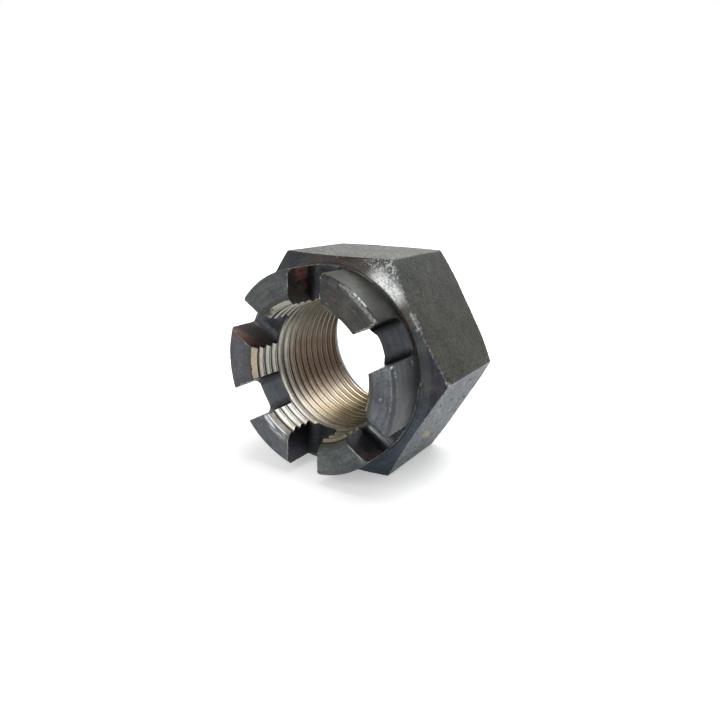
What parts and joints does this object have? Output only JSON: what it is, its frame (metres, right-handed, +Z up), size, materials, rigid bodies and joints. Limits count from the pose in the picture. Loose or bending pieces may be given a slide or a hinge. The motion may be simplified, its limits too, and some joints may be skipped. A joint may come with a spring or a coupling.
{
  "type": "castle nut",
  "caption": "Hexagon castle nut with a slotted cylindrical crown for a cotter pin, a fine right-hand thread and bevelled corners.",
  "frame": {"origin": "on the thread's axis, in the plane of the bearing face", "axes": "+Y along the thread's axis and out of the bearing face, so the crown points along -Y; +Z up, out of the top flat, with the nut lying on the flat opposite"},
  "size_m": [0.0532, 0.033, 0.046],
  "materials": {
    "blackened_steel": "forged and turned steel with a worn black oxide film, bare in the thread"
  },
  "bodies": {
    "root": {"castle_nut": "blackened_steel"}
  },
  "joints": []
}
